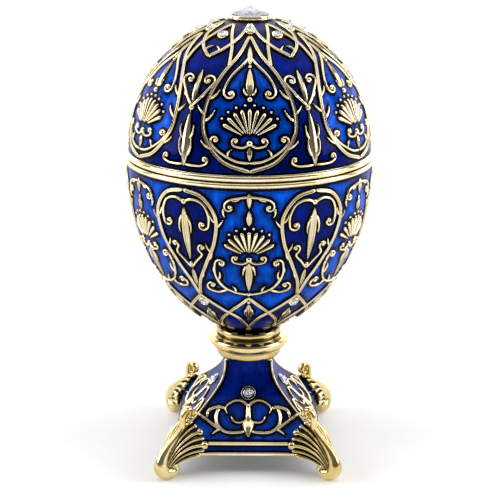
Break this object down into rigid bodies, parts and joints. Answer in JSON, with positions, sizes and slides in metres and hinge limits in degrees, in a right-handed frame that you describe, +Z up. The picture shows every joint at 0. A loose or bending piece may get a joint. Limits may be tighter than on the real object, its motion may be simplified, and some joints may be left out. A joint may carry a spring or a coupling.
{
  "type": "jewelled egg",
  "caption": "Souvenir enamelled trinket-box egg with a lift-off lid and a clear top stone, on a square flared stand with leaf-scroll feet.",
  "frame": {"origin": "on the floor under the egg's axis, midway between the toes", "axes": "+Z up along the egg's axis, -Y out of the front face of the pedestal, +X to its right"},
  "size_m": [0.0642, 0.0642, 0.12],
  "materials": {
    "enamel": "gloss translucent cobalt enamel between gilt lines on cast zinc",
    "gilt": "polished pale gold plate on cast zinc",
    "crystal": "clear faceted crystal"
  },
  "bodies": {
    "root": {"lid": "enamel", "bowl": "enamel", "top_stone": "crystal", "collar": "gilt", "pedestal": "enamel", "foot_front_left": "gilt", "foot_front_right": "gilt", "foot_back_right": "gilt", "foot_back_left": "gilt", "pedestal_stone_front": "crystal", "pedestal_stone_right": "crystal", "pedestal_stone_back": "crystal", "pedestal_stone_left": "crystal", "lid_stone_1": "crystal", "lid_stone_2": "crystal", "lid_stone_3": "crystal", "lid_stone_4": "crystal", "lid_stone_5": "crystal", "lid_stone_6": "crystal", "lid_stone_7": "crystal", "lid_stone_8": "crystal", "lid_stone_9": "crystal", "lid_stone_10": "crystal", "lid_stone_11": "crystal", "lid_stone_12": "crystal", "bowl_stone_1": "crystal", "bowl_stone_2": "crystal", "bowl_stone_3": "crystal", "bowl_stone_4": "crystal", "bowl_stone_5": "crystal", "bowl_stone_6": "crystal"}
  },
  "joints": []
}
